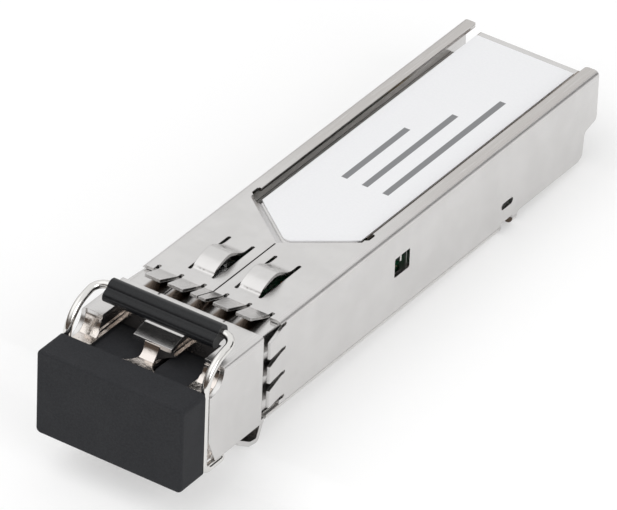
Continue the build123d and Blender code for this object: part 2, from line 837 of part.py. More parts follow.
def release_lever():
    """The folded lever: plate over the bail's cams, pin ears, hanging heel and two prongs."""
    half_sheet = lever_sheet / 2
    path = [
        (lever_front_y, lever_plate_z), (lever_knee_y, lever_plate_z), (lever_low_y, lever_low_z),
        (lever_heel_y, lever_heel_z), (lever_rise_y, half_sheet), (lever_rise_y + 2 * lever_bend, half_sheet),
    ]
    strip = bent_strip(path, lever_bend, lever_sheet, -lever_half_width, lever_half_width)
    narrow_front = lever_front_y - cut_reach
    strip -= both_sides(block(lever_neck, beside, narrow_front, lever_wide_from_y, -2 * cut_reach, above))
    trim_y = lever_rise_y + half_sheet
    strip -= across(beside, trim_y, trim_y + 2 * cut_reach, -2 * cut_reach, above)
    half_prong = prong_width / 2
    prong = block(prong_x - half_prong, prong_x + half_prong, lever_rise_y, prong_end_y, 0, lever_sheet)
    ear_x = lever_neck - lever_sheet
    return strip + both_sides(prong) + lever_ear(-ear_x) + lever_ear(ear_x)


def lever_spring():
    """The arched leaf between the nose's floor and the lever's front plate."""
    low = lever_plate_z + lever_sheet / 2 + spring_gap
    high = nose_floor_z - spring_gap
    front = lever_front_y + spring_front
    crest = front + spring_ramp
    crest_end = crest + spring_land
    arch = [(front, low), (crest, high), (crest_end, high), (crest_end + spring_ramp, low)]
    return bent_strip(arch, spring_bend, spring_sheet, -spring_width / 2, spring_width / 2)


# Bail
def bail_wire():
    """The bent wire, with coined cams where its ends lie under the lever."""
    half_loop = [
        (lever_neck, bail_axis_y, bail_axis_z), (bail_leg_x, bail_axis_y, bail_axis_z),
        (bail_leg_x, bail_leg_y, bail_axis_z), (bail_leg_x, bail_leg_y, bail_leg_top),
        (bail_leg_x, grip_y, grip_z),
    ]
    other_half = [(-x, y, z) for x, y, z in reversed(half_loop)]
    bends = [bail_end_bend, bail_elbow_bend, bail_top_bend, bail_corner_bend]
    path = FilletPolyline(*half_loop, *other_half, radius=bends + bends[::-1])
    wire = sweep(Plane(origin=path @ 0, z_dir=path % 0) * Circle(bail_wire_radius), path=path)
    coin = Ellipse(bail_wire_radius - slip_fit, bail_cam_half_height)
    cam_face = Plane.YZ.offset(lever_neck - bail_cam_width) * Pos(bail_axis_y, bail_axis_z) * coin
    cam = extrude(cam_face, amount=bail_cam_width + bail_wire_radius)
    return wire + both_sides(cam)


def bail_grip():
    """The two-lobed bar that a finger pulls, bored for the wire."""
    half = bail_leg_x - grip_inset
    front_y = grip_y - grip_front_offset
    front_z = grip_z - grip_front_drop
    bar = rod_x(grip_rear_radius, -half, half, grip_y, grip_z)
    bar += rod_x(grip_front_radius, -half, half, front_y, front_z)
    bar += rod_x(grip_web_radius, -half, half, (grip_y + front_y) / 2, (grip_z + front_z) / 2)
    return bar - rod_x(bail_wire_radius + slip_fit, -half - cut_reach, half + cut_reach, grip_y, grip_z)


# Dust plug
def dust_plug():
    """The cap block and the two arms that fill the ports."""
    half = half_nose + plug_overhang
    body = across(half, plug_rear_y - plug_depth, plug_rear_y, plug_bottom, plug_top)
    body = fillet(body.edges().filter_by(Axis.Y), plug_edge)
    body = fillet(body.faces().sort_by(Axis.Y)[0].edges(), plug_face_edge)
    arm_half = plug_arm / 2
    arm_end = plug_rear_y + plug_arm_length
    for x in (-port_x, port_x):
        arm = block(x - arm_half, x + arm_half, plug_rear_y, arm_end, port_z - arm_half, port_z + arm_half)
        arm = chamfer(arm.faces().sort_by(Axis.Y)[-1].edges().filter_by(Axis.X), plug_arm_chamfer)
        body += fillet(arm.edges().filter_by(Axis.Y), plug_arm_edge)
        body -= rod_y(plug_bore_radius, x, arm_end - plug_bore_length, arm_end + cut_reach, port_z)
    return body


# Label
def product_label():
    """The label, cut to the panel's outline with a rounded tip."""
    half = half_panel - label_margin
    front = panel_tip_y + label_front_gap
    corner = front + panel_sweep * half
    end = body_length - label_tail
    outline = [(0, front), (half, corner), (half, end), (-half, end), (-half, corner)]
    label = plan_prism(outline, panel_top, panel_top + label_thickness)
    tip = label.edges().filter_by(Axis.Z).sort_by(Axis.Y)[0]
    return fillet(tip, label_tip_radius)


save("top_cover", top_cover())
save("base_housing", base_housing())
save("nose_core", nose_core())
save("nose_shell", nose_shell())
names = ("stub", "barrel", "can", "flex")
for side, offset in (("transmitter", -port_x), ("receiver", port_x)):
    for name, shape in zip(names, optical_parts()):
        save(f"{side}_{name}", Pos(offset, 0, 0) * shape)
save("optics_clamp", optics_clamp())
save("circuit_board", circuit_board())
save("top_edge_contacts", *edge_contacts(board_top))
save("bottom_edge_contacts", *edge_contacts(board_z - contact_thickness))
save("laser_driver_chip", chip(driver_package))
save("receiver_amplifier_chip", chip(amplifier_package))
save("controller_chip", chip(controller_package))
save("memory_chip", leaded_chip(memory_package, memory_leads, memory_lead_pitch))
save("ceramic_capacitors", *small_parts(capacitor_rows, capacitor_places, capacitor_size))
save("chip_resistors", *small_parts((resistor_row,), resistor_places, resistor_size))
save("power_inductors", *small_parts((inductor_row,), inductor_places, inductor_size))
save("bail_wire", bail_wire())
save("bail_grip", bail_grip())
save("release_lever", release_lever())
save("lever_pin", rod_x(lever_pin_radius, -core_half_width, core_half_width, lever_pin_y, lever_pin_z))
save("lever_spring", lever_spring())
save("dust_plug", dust_plug())
save("product_label", product_label())
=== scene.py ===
# %% [markdown]
# # A pluggable optical transceiver
#
# The object is a small metal box that slides into a network switch. It has a folded
# nickel-plated cover, a cast nose with two fibre ports, a wire bail with a plastic grip,
# and a dust plug. The solids come ready made, so this lesson is about finishes, light
# and the camera. Everything is in metres, in the same place as the solids.

# %% Load the solids
import bpy
import math
from mathutils import Matrix, Vector

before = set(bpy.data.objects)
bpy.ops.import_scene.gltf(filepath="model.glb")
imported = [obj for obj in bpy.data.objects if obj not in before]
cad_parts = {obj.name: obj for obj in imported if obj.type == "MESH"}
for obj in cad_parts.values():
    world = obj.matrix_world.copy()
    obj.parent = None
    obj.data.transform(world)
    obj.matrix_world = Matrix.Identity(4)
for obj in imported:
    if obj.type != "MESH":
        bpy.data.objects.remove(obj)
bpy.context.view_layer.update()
MM = 0.001

# %% [markdown]
# ## The camera
#
# The picture was taken with a long lens from the front right, well above the object.
# A long lens keeps parallel edges nearly parallel. The camera is turned a little about
# its own line of sight, which is why the upright edges lean. It could be aimed by eye
# with a tracking constraint, but three angles say the same and can be fitted to points
# of the picture.

# %% Find the camera's axes
CAMERA_PLACE = Vector((292.04, -424.68, 363.46)) * MM
AIM_TURN = math.radians(33.525)
AIM_RISE = math.radians(34.15)
AIM_ROLL = math.radians(2.239)


def camera_axes():
    """Right, up and back directions of the camera."""
    back = Vector((math.sin(AIM_TURN) * math.cos(AIM_RISE),
                   -math.cos(AIM_TURN) * math.cos(AIM_RISE), math.sin(AIM_RISE)))
    level = Vector((math.cos(AIM_TURN), math.sin(AIM_TURN), 0))
    upright = back.cross(level)
    right = level * math.cos(AIM_ROLL) + upright * math.sin(AIM_ROLL)
    up = upright * math.cos(AIM_ROLL) - level * math.sin(AIM_ROLL)
    return right, up, back


print("camera looks along:", [round(-part, 3) for part in camera_axes()[2]])

# %% Place the camera
IMAGE_WIDTH = 617
FOCAL_PIXELS = 8000
SENSOR = 36

lens = bpy.data.cameras.new("long_lens")
lens.sensor_fit = "HORIZONTAL"
lens.sensor_width = SENSOR
lens.lens = FOCAL_PIXELS / IMAGE_WIDTH * SENSOR
lens.clip_start = 0.01
lens.clip_end = 20
camera = bpy.data.objects.new("camera", lens)
turn = Matrix(camera_axes()).transposed()
camera.matrix_world = Matrix.Translation(CAMERA_PLACE) @ turn.to_4x4()
bpy.context.scene.collection.objects.link(camera)
bpy.context.scene.camera = camera
print("lens in mm:", round(lens.lens, 1))

# %% [markdown]
# ## Shader sums as plain expressions
#
# A finish is a small network of nodes. Written out by hand, the arithmetic in it hides
# what it means, so a socket is wrapped in a class that understands + - * /. Numbers use
# Math nodes. Colours use Mix nodes and vectors use Vector Math, because a Math node
# would turn a colour grey.

# %% Wrap a socket
class Value:
    """A node's output that can be used in a sum."""

    def __init__(self, tree, socket):
        self.tree = tree
        self.socket = socket
        self.kind = socket.type

    def combine(self, operation, first, second):
        """One node that joins two operands, at least one of them a Value."""
        kinds = [term.kind for term in (first, second) if isinstance(term, Value)]
        if "RGBA" in kinds:
            settings = {"data_type": "RGBA", "blend_type": operation}
            return self.tree.node("ShaderNodeMix", settings, {0: 1.0, 6: first, 7: second}, 2)
        kind = "ShaderNodeVectorMath" if "VECTOR" in kinds else "ShaderNodeMath"
        return self.tree.node(kind, {"operation": operation}, {0: first, 1: second})

    def __add__(self, other):
        return self.combine("ADD", self, other)

    def __radd__(self, other):
        return self.combine("ADD", other, self)

    def __sub__(self, other):
        return self.combine("SUBTRACT", self, other)

    def __rsub__(self, other):
        return self.combine("SUBTRACT", other, self)

    def __mul__(self, other):
        return self.combine("MULTIPLY", self, other)

    def __rmul__(self, other):
        return self.combine("MULTIPLY", other, self)

    def __truediv__(self, other):
        return self.combine("DIVIDE", self, other)

    def __rtruediv__(self, other):
        return self.combine("DIVIDE", other, self)

    def __abs__(self):
        return self.tree.node("ShaderNodeMath", {"operation": "ABSOLUTE"}, {0: self})

    def smooth(self, low, high):
        """0 below low, 1 above high, with a soft step between."""
        settings = {"interpolation_type": "SMOOTHSTEP"}
        return self.tree.node("ShaderNodeMapRange", settings, {0: self, 1: low, 2: high})

    def fall(self, low, high):
        """1 below low, 0 above high, with a soft step between."""
        return 1.0 - self.smooth(low, high)

    def bounce(self, reach):
        """Runs up from 0 to reach and back again, over and over."""
        return self.tree.node("ShaderNodeMath", {"operation": "PINGPONG"}, {0: self, 1: reach})

    def least(self, other):
        """The smaller of two values."""
        return self.combine("MINIMUM", self, other)


print("a value knows:", ", ".join(sorted(name for name in vars(Value) if not name.startswith("__"))))

# %% [markdown]
# ## One method for every node
#
# Blender has dozens of node types. Each is made, set and linked in the same three
# moves, so one method does it for all of them, with the type's own name. A small
# function for each type would be longer and would hide which node is meant.

# %% Add nodes by one method
class Tree:
    """The nodes of a material or of the world."""

    def __init__(self, owner):
        owner.use_nodes = True
        self.nodes = owner.node_tree.nodes
        self.links = owner.node_tree.links

    def put(self, socket, term):
        """Links a Value to an input, or sets a number, colour or vector on it."""
        if isinstance(term, Value):
            self.links.new(term.socket, socket)
        elif socket.type == "RGBA":
            shade = term if isinstance(term, (tuple, list)) else (term, term, term)
            socket.default_value = tuple(shade[:3]) + (1.0,)
        elif socket.type == "VECTOR" and not isinstance(term, (tuple, list)):
            socket.default_value = (term, term, term)
        else:
            socket.default_value = term

    def node(self, kind, settings, inputs, output=0):
        """Any node: its settings come first, then its inputs by name or number."""
        made = self.nodes.new(kind)
        for label, value in settings.items():
            setattr(made, label, value)
        for label, term in inputs.items():
            self.put(made.inputs[label], term)
        return Value(self, made.outputs[output])

    def blend(self, first, second, share):
        """A colour between two, by share."""
        return self.node("ShaderNodeMix", {"data_type": "RGBA"}, {0: share, 6: first, 7: second}, 2)

    def split(self, vector):
        """The three numbers of a vector."""
        return [self.node("ShaderNodeSeparateXYZ", {}, {0: vector}, index) for index in range(3)]


print("a tree can:", ", ".join(sorted(name for name in vars(Tree) if not name.startswith("__"))))

# %% [markdown]
# ## A finish is one material
#
# Every piece gets one surface shader. Its patterns are reckoned from the point on the
# piece, so they move with the piece and need no unwrapping and no picture. Fine relief
# comes from a bump. A bevel node under the bump makes sharp edges catch the light as if
# they were broken, which real edges always are.

# %% Make a finish
TO_MM = (1000.0, 1000.0, 1000.0)
BEVEL_RAYS = 6


class Finish(Tree):
    """One material: a surface shader and the nodes that feed it."""

    def __init__(self, name, **constants):
        self.material = bpy.data.materials.new(name)
        super().__init__(self.material)
        self.shader = self.nodes["Principled BSDF"]
        for label, value in constants.items():
            self.shader.inputs[self.spelled(label)].default_value = value

    @staticmethod
    def spelled(label):
        """An input's name as Blender spells it."""
        return label.replace("_", " ").title().replace("Ior", "IOR")

    def place(self):
        """The point on the piece, in millimetres, which moves with the piece."""
        return self.node("ShaderNodeTexCoord", {}, {}, "Object") * TO_MM

    def axes(self):
        """The same point as three numbers."""
        return self.split(self.place())

    def noise(self, point, scale, detail=3.0, rough=0.5):
        """Cloudy values from about 0.3 to 0.7, with this many clouds a millimetre."""
        inputs = {"Vector": point, "Scale": scale, "Detail": detail, "Roughness": rough}
        return self.node("ShaderNodeTexNoise", {}, inputs)

    def spots(self, point, scale, inner, outer):
        """1 inside round spots that are strewn about, 0 outside them."""
        nearest = self.node("ShaderNodeTexVoronoi", {"feature": "F1"}, {"Vector": point, "Scale": scale})
        return nearest.fall(inner, outer)

    def relief(self, height, depth_mm, edge_mm=0.0):
        """Fine relief of that depth, over edges that look rounded by edge_mm."""
        inputs = {"Height": height, "Distance": depth_mm * MM, "Strength": 1.0}
        if edge_mm:
            inputs["Normal"] = self.node("ShaderNodeBevel", {"samples": BEVEL_RAYS}, {"Radius": edge_mm * MM})
        return self.node("ShaderNodeBump", {}, inputs)

    def feed(self, **sockets):
        """Feeds the surface shader's own inputs."""
        for label, term in sockets.items():
            self.put(self.shader.inputs[self.spelled(label)], term)
        return self

    def cover(self, *names):
        """Gives the finish to the named pieces."""
        for name in names:
            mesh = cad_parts[name].data
            mesh.materials.clear()
            mesh.materials.append(self.material)
        print(self.material.name, "on", ", ".join(names))


def darker(tone, share):
    """A colour with each part lowered to that share."""
    return tuple(share * part for part in tone)


print("a finish can:", ", ".join(sorted(name for name in vars(Finish) if not name.startswith("__"))))

# %% [markdown]
# ## Where shade is painted
#
# Painted shade darkens the colour where little light gets in: in the corner between a
# rail and the label's pocket, on the nose plate under the spring fingers, where it also
# stands for the dark undersides of the fingers seen in the plate, and in the notch near
# the rear. It could be painted on a picture. Here each place is a product of soft steps
# along x, y and z, in millimetres, so that it follows the sizes.

# %% Mark the corners with painted shade
COVER_TOP = 8.5
COVER_HALF_WIDTH = 6.7
COVER_INSIDE = 6.4
POCKET_HALF_WIDTH = 4.85
POCKET_FRONT = 12.4
FINGER_TIPS = 0.7
FINGER_PITCH = 2.18
FINGERS_END = 5.0
NOTCH_FRONT, NOTCH_REAR = 34.0, 35.9
NOTCH_TOP = 1.5
# Colours of painted shade: a pale brown in the rail corners, a deep brown under the fingers and behind the
# notch.
CORNER_SHADE_PAINT = (0.30, 0.26, 0.23)
DEEP_SHADE_PAINT = (0.13, 0.10, 0.08)


def corner_painted_shade(x, y, z):
    """Painted shade in the corner between a rail and the label's pocket."""
    beside = abs(x)
    between = beside.smooth(POCKET_HALF_WIDTH - 0.1, POCKET_HALF_WIDTH)
    between = between * beside.fall(COVER_INSIDE + 0.02, COVER_INSIDE + 0.1)
    level = z.smooth(COVER_TOP - 1.2, COVER_TOP - 1.0) * z.fall(COVER_TOP - 0.4, COVER_TOP - 0.1)
    return between * level * y.smooth(POCKET_FRONT, POCKET_FRONT + 0.6)


def finger_painted_shade(x, y, z):
    """Painted shade on the nose plate, under the five spring fingers."""
    under = x.bounce(FINGER_PITCH / 2).fall(0.5, 0.95) * abs(x).fall(FINGERS_END, FINGERS_END + 0.4)
    return under * y.smooth(FINGER_TIPS - 0.8, FINGER_TIPS - 0.1) * z.smooth(5.0, 5.3)


def notch_painted_shade(x, y, z):
    """Painted shade on the tray, behind the notch in the cover's side near the rear."""
    along = y.smooth(NOTCH_FRONT, NOTCH_FRONT + 0.1) * y.fall(NOTCH_REAR - 0.1, NOTCH_REAR)
    return along * abs(x).smooth(5.4, 5.6) * z.fall(NOTCH_TOP, NOTCH_TOP + 0.2)


# The print gives the span across of the painted shade beside the pocket.
print("dirt between a rail and the pocket, in mm across:", POCKET_HALF_WIDTH, "to", COVER_INSIDE)

# %% [markdown]
# ## Rolled nickel sheet
#
# The cover is thin steel that was rolled, stamped, folded and then nickel plated. Nickel
# is a warm light grey. Rolling leaves faint streaks along the length, and plating leaves
# fine cloudy mottling. Both show in the roughness more than in the colour, so the same
# streaks drive the two, and a very shallow bump breaks up the reflections. The rails
# beside the label are painted a little darker towards the rear, in streaks: painted shade
# for the darker reflection there. Painted shade also darkens the corners that the given
# mask marks. The fold is duller than the flat sheet, because folding stretches the plating.

# %% Finish of the cover, the nose plate and the lever
NICKEL_GREYS = (0.630, 0.620, 0.612), (0.668, 0.658, 0.650)
NICKEL_STREAK = (0.56, 0.54, 0.52)
RAIL_SHADE_PAINT = (0.535, 0.515, 0.497)
RAIL_SHADE_REACH = 18.0


def rolled_nickel(name, painted_shade, painted_shade_tone):
    finish = Finish(name, metallic=1.0)
    point = finish.place()
    x, y, z = finish.axes()
    streaks = finish.noise(point * (9.0, 0.35, 9.0), 1.0, 4.0, 0.6)
    clouds = finish.noise(point, 0.35, 3.0, 0.55)
    grain = finish.noise(point, 16.0, 2.0, 0.6)
    tone = finish.blend(*NICKEL_GREYS, clouds.smooth(0.3, 0.7))
    tone = finish.blend(tone, NICKEL_STREAK, streaks.smooth(0.55, 0.9) * 0.35)
    # The rails are painted darker towards the rear, in streaks: painted shade for the darker reflection
    # there.
    on_rail = abs(x).smooth(POCKET_HALF_WIDTH, POCKET_HALF_WIDTH + 0.1)
    on_rail = on_rail * z.smooth(COVER_TOP - 0.12, COVER_TOP - 0.04)
    rail_shade = on_rail * y.smooth(POCKET_FRONT, POCKET_FRONT + RAIL_SHADE_REACH)
    tone = finish.blend(tone, RAIL_SHADE_PAINT, rail_shade * streaks.smooth(0.2, 0.5))
    # Painted shade where the given mask marks it.
    tone = finish.blend(tone, painted_shade_tone, painted_shade(x, y, z))
    fold = abs(x).smooth(COVER_HALF_WIDTH - 0.5, COVER_HALF_WIDTH - 0.15)
    fold = fold * z.smooth(COVER_TOP - 0.5, COVER_TOP - 0.15)
    rough = 0.18 + streaks * 0.07 + clouds * 0.06 + fold * 0.14
    normal = finish.relief(grain * 0.8 + streaks * 0.2, 0.0008, 0.06)
    return finish.feed(base_color=tone, roughness=rough, normal=normal)


# Painted shade in the rail corners of the cover and the lever, and under the fingers on the nose plate.
rolled_nickel("rolled_nickel", corner_painted_shade, CORNER_SHADE_PAINT).cover("top_cover", "release_lever")
rolled_nickel("nose_nickel", finger_painted_shade, DEEP_SHADE_PAINT).cover("nose_shell")

# %% [markdown]
# ## Bright cast nose
#
# The nose is die cast and then plated bright. It mirrors whatever is round it, so it
# looks nearly white in one place and brown black in the next. The cast skin under the
# plating is never quite flat: soft waves bend the reflections, and small pits stay open.
# The waves could be real shape, but they are far below a tenth of a millimetre, and a
# bump gives them with no more faces. The tray is the same casting with a satin plating.

# %% Finish of the castings
BRIGHT_CAST = (0.72, 0.67, 0.63)
SATIN_CAST = (0.66, 0.65, 0.635)


def cast_plating(name, rough, wave, tint):
    finish = Finish(name, metallic=1.0)
    point = finish.place()
    waves = finish.noise(point, 1.1, 2.0, 0.5)
    skin = finish.noise(point, 9.0, 3.0, 0.6)
    pit = finish.spots(point, 2.2, 0.05, 0.16)
    tone = finish.blend(tint, darker(tint, 0.55), pit * 0.8)
    x, y, z = finish.axes()
    # Painted shade in the rail corners and on the tray behind the notch.
    tone = finish.blend(tone, CORNER_SHADE_PAINT, corner_painted_shade(x, y, z))
    tone = finish.blend(tone, DEEP_SHADE_PAINT, notch_painted_shade(x, y, z))
    height = waves * wave + skin * 0.25 - pit * 0.8
    return finish.feed(base_color=tone, roughness=rough + skin * 0.12 + pit * 0.3,
                       normal=finish.relief(height, 0.02, 0.06))


cast_plating("bright_cast", 0.06, 2.0, BRIGHT_CAST).cover("nose_core")
cast_plating("satin_cast", 0.26, 1.0, SATIN_CAST).cover("base_housing")

# %% [markdown]
# ## Wire
#
# The bail is drawn wire, bright and smooth, with small dents where it was bent and
# handled. A mirror with no flaw would look like a drawing, so slow dents bend its
# highlight and fine specks dull it here and there.

# %% Finish of the wire
WIRE_BRIGHT = (0.74, 0.73, 0.71)
WIRE_SPECK = (0.64, 0.62, 0.59)


def drawn_wire():
    finish = Finish("drawn_wire", metallic=1.0)
    point = finish.place()
    dents = finish.noise(point, 1.6, 2.0, 0.5)
    specks = finish.noise(point, 18.0, 2.0, 0.6)
    tone = finish.blend(WIRE_BRIGHT, WIRE_SPECK, specks.smooth(0.5, 0.8) * 0.6)
    return finish.feed(base_color=tone, roughness=0.08 + dents * 0.12,
                       normal=finish.relief(dents + specks * 0.15, 0.010))


drawn_wire().cover("bail_wire")

# %% [markdown]
# ## Turned and rolled small parts
#
# The optical barrels were turned in a lathe, which leaves fine rings round them. A
# noise that changes along one axis only gives such rings, and they drive both the
# roughness and the bump. The lever's spring is a rolled strip, which has the same kind
# of lines, only wider.

# %% Finish of turned metal
TURNED_TINT = (0.66, 0.655, 0.65)
STRIP_TINT = (0.52, 0.51, 0.49)


def turned_steel(name, rings, tint):
    finish = Finish(name, metallic=1.0)
    inputs = {"W": finish.axes()[1], "Scale": rings, "Detail": 3.0}
    lathe = finish.node("ShaderNodeTexNoise", {"noise_dimensions": "1D"}, inputs)
    stain = finish.noise(finish.place(), 1.5, 3.0, 0.6)
    tone = finish.blend(tint, darker(tint, 0.8), stain.smooth(0.45, 0.75))
    return finish.feed(base_color=tone, roughness=0.16 + lathe * 0.2,
                       normal=finish.relief(lathe, 0.006, 0.04))


turned_steel("turned_barrel", 12.0, TURNED_TINT).cover(
    "transmitter_barrel", "receiver_barrel", "transmitter_can", "receiver_can", "lever_pin")
turned_steel("spring_strip", 5.0, STRIP_TINT).cover("lever_spring")

# %% [markdown]
# ## Plug rubber
#
# The dust plug is a matt elastomer: dark grey, never black, with fine specks where light
# catches the moulded skin. One flat grey would look like a hole in the picture, so the
# skin, the specks and a little dust each vary at a scale of their own.

# %% Finish of the plug
RUBBER_GREYS = (0.016, 0.0165, 0.019), (0.024, 0.025, 0.028)
RUBBER_SPECK = (0.11, 0.11, 0.115)


def plug_rubber():
    finish = Finish("plug_rubber", specular_ior_level=0.25)
    point = finish.place()
    skin = finish.noise(point, 7.0, 4.0, 0.7)
    specks = finish.noise(point, 16.0, 2.0, 0.6)
    dust = finish.noise(point, 0.5, 3.0, 0.6)
    tone = finish.blend(*RUBBER_GREYS, skin.smooth(0.3, 0.7))
    tone = finish.blend(tone, RUBBER_SPECK, specks.smooth(0.64, 0.8) * 0.6)
    return finish.feed(base_color=tone, roughness=0.62 + dust * 0.2,
                       normal=finish.relief(skin * 0.5 + specks * 0.5, 0.012))


plug_rubber().cover("dust_plug")

# %% [markdown]
# ## Grip and clamp plastic
#
# The grip is a hard, glossy plastic that shows long highlights. They come from a thin
# coat over a duller body, because a body that is glossy by itself would lose the soft
# sheen round the highlight. The clamp inside is plain matt plastic.

# %% Finish of the grip and the clamp
GRIP_BLACKS = (0.0055, 0.006, 0.007), (0.0095, 0.010, 0.0115)
CLAMP_BLACKS = (0.020, 0.020, 0.021), (0.035, 0.035, 0.036)


def grip_plastic():
    finish = Finish("grip_plastic", specular_ior_level=0.22, coat_weight=0.14, coat_roughness=0.06)
    point = finish.place()
    flow = finish.noise(point * (0.3, 2.0, 2.0), 1.0, 3.0, 0.5)
    haze = finish.noise(point, 6.0, 3.0, 0.6)
    tone = finish.blend(*GRIP_BLACKS, haze.smooth(0.35, 0.65))
    return finish.feed(base_color=tone, roughness=0.24 + haze * 0.16,
                       normal=finish.relief(flow + haze * 0.2, 0.008))


def clamp_plastic():
    finish = Finish("clamp_plastic")
    haze = finish.noise(finish.place(), 8.0, 4.0, 0.7)
    tone = finish.blend(*CLAMP_BLACKS, haze.smooth(0.3, 0.7))
    return finish.feed(base_color=tone, roughness=0.45 + haze * 0.2,
                       normal=finish.relief(haze, 0.01, 0.05))


grip_plastic().cover("bail_grip")
clamp_plastic().cover("optics_clamp")

# %% [markdown]
# ## The label
#
# A white film label fills the sunk panel. Its print is only plain grey bars. Print could
# be a picture laid over the film. Here the material paints the bars from the point's
# place on the label, so they stay sharp at any distance.

# %% Finish of the label
FILM_WHITES = (0.832, 0.835, 0.850), (0.856, 0.858, 0.870)
INK = (0.20, 0.203, 0.21)
BARS_FRONT = 23.0
BAR_REARS = 40.0, 36.0, 32.0
FIRST_BAR_X = 2.6
BAR_SPACING = 2.0


def label_film():
    finish = Finish("label_film", coat_weight=0.15, coat_roughness=0.3)
    x, y, z = finish.axes()
    bars = 0.0
    for row, rear in enumerate(BAR_REARS):
        half_length = (rear - BARS_FRONT) / 2
        across = abs(x - (FIRST_BAR_X - BAR_SPACING * row)).fall(0.26, 0.32)
        along = abs(y - (BARS_FRONT + rear) / 2).fall(half_length, half_length + 0.06)
        bars = across * along + bars
    fibre = finish.noise(finish.place(), 5.0, 4.0, 0.6)
    paper = finish.blend(*FILM_WHITES, fibre.smooth(0.3, 0.7))
    tone = finish.blend(paper, INK, bars)
    return finish.feed(base_color=tone, roughness=0.42 + fibre * 0.12, normal=finish.relief(fibre, 0.003))


label_film().cover("product_label")

# %% [markdown]
# ## The circuit board
#
# The board shows only through the windows and the open rear end, yet it keeps its own
# finish: green mask with copper tracks under it and small tinned holes. Lanes that sway
# a little look enough like tracks at this distance. Real tracks as shapes would cost
# many faces that nobody sees.

# %% Finish of the board
MASK_GREEN = (0.012, 0.10, 0.045)
TRACK_GREEN = (0.03, 0.21, 0.10)
TINNED_HOLE = (0.45, 0.40, 0.22)


def solder_mask():
    finish = Finish("solder_mask", coat_weight=0.4, coat_roughness=0.18)
    point = finish.place()
    sway = finish.noise(point, 0.22, 1.0, 0.5)
    track = (finish.axes()[0] + sway * 3.0).bounce(0.4).fall(0.08, 0.13)
    via = finish.spots(point * (1.0, 1.0, 0.0), 0.55, 0.10, 0.14)
    tone = finish.blend(MASK_GREEN, TRACK_GREEN, track)
    tone = finish.blend(tone, TINNED_HOLE, via)
    return finish.feed(base_color=tone, roughness=0.32 - track * 0.06 + via * 0.1,
                       normal=finish.relief(track + via * 0.5, 0.02))


solder_mask().cover("circuit_board")

# %% [markdown]
# ## Contacts and chips
#
# The host edge has gold flash over copper, brushed along its length by the socket. The
# chips are moulded in a dark resin that is full of fine glass, which makes them matt
# and a little speckled. Noise that is stretched along y brushes the gold.

# %% Finish of the contacts and the chips
GOLDS = (0.83, 0.60, 0.24), (0.90, 0.70, 0.36)
RESINS = (0.014, 0.014, 0.016), (0.034, 0.034, 0.037)


def gold_flash():
    finish = Finish("gold_flash", metallic=1.0)
    brush = finish.noise(finish.place() * (6.0, 0.6, 6.0), 1.0, 3.0, 0.5)
    tone = finish.blend(*GOLDS, brush.smooth(0.3, 0.7))
    return finish.feed(base_color=tone, roughness=0.2 + brush * 0.16, normal=finish.relief(brush, 0.004))


def chip_resin():
    finish = Finish("chip_resin")
    filler = finish.noise(finish.place(), 12.0, 3.0, 0.7)
    tone = finish.blend(*RESINS, filler.smooth(0.35, 0.7))
    return finish.feed(base_color=tone, roughness=0.5 + filler * 0.2,
                       normal=finish.relief(filler, 0.012, 0.04))


gold_flash().cover("top_edge_contacts", "bottom_edge_contacts")
chip_resin().cover("laser_driver_chip", "receiver_amplifier_chip", "controller_chip", "memory_chip")

# %% [markdown]
# ## Small ceramic parts
#
# Capacitors, resistors and inductors are little blocks with tinned ends. Each kind is
# one piece with several blocks in rows, so its finish finds the nearest row and turns
# to metal beyond half a body's length from the row's middle. Two materials on one piece
# would do it too, but would tie the looks to the faces of the solids.

# %% Finish of the small ceramic parts
TIN = (0.62, 0.61, 0.59)


def tinned_ends(name, middle, rows, body_length):
    """A ceramic block with tinned ends; rows are the middles of the parts along the board."""
    finish = Finish(name)
    along = finish.axes()[1]
    nearest = abs(along - rows[0])
    for row in rows[1:]:
        nearest = nearest.least(abs(along - row))
    tin = nearest.smooth(body_length / 2, body_length / 2 + 0.04)
    grit = finish.noise(finish.place(), 10.0, 3.0, 0.6)
    tone = finish.blend(middle, darker(middle, 0.75), grit.smooth(0.35, 0.7))
    tone = finish.blend(tone, TIN, tin)
    return finish.feed(base_color=tone, metallic=tin, roughness=0.38 + grit * 0.15,
                       normal=finish.relief(grit, 0.008, 0.05))


tinned_ends("capacitor_ceramic", (0.42, 0.30, 0.18), (20.5, 21.9), 0.5).cover("ceramic_capacitors")
tinned_ends("resistor_glaze", (0.03, 0.03, 0.035), (29.1,), 0.56).cover("chip_resistors")
tinned_ends("inductor_ferrite", (0.085, 0.085, 0.09), (32.1,), 1.5).cover("power_inductors")

# %% [markdown]
# ## Ferrules and flexible tails
#
# The stubs in the ports are polished white ceramic. Amber film with copper lanes joins
# the optical cans to the board. The lanes are a pattern in the film, as they are in the
# real thing, where they lie under its surface.

# %% Finish of the ferrules and the tails
CERAMIC_WHITES = (0.80, 0.79, 0.76), (0.86, 0.855, 0.83)
AMBER = (0.42, 0.17, 0.025)
COPPER_LANE = (0.66, 0.34, 0.12)


def white_ceramic():
    finish = Finish("ferrule_ceramic", coat_weight=0.3, coat_roughness=0.08)
    grit = finish.noise(finish.place(), 6.0, 3.0, 0.5)
    tone = finish.blend(*CERAMIC_WHITES, grit.smooth(0.3, 0.7))
    return finish.feed(base_color=tone, roughness=0.14 + grit * 0.1,
                       normal=finish.relief(grit, 0.003, 0.05))


def amber_tail():
    finish = Finish("amber_tail", coat_weight=0.5, coat_roughness=0.15)
    copper = finish.axes()[0].bounce(0.35).fall(0.12, 0.16)
    haze = finish.noise(finish.place(), 4.0, 3.0, 0.5)
    tone = finish.blend(AMBER, COPPER_LANE, copper)
    return finish.feed(base_color=tone, roughness=0.28 + haze * 0.1, normal=finish.relief(copper, 0.01))


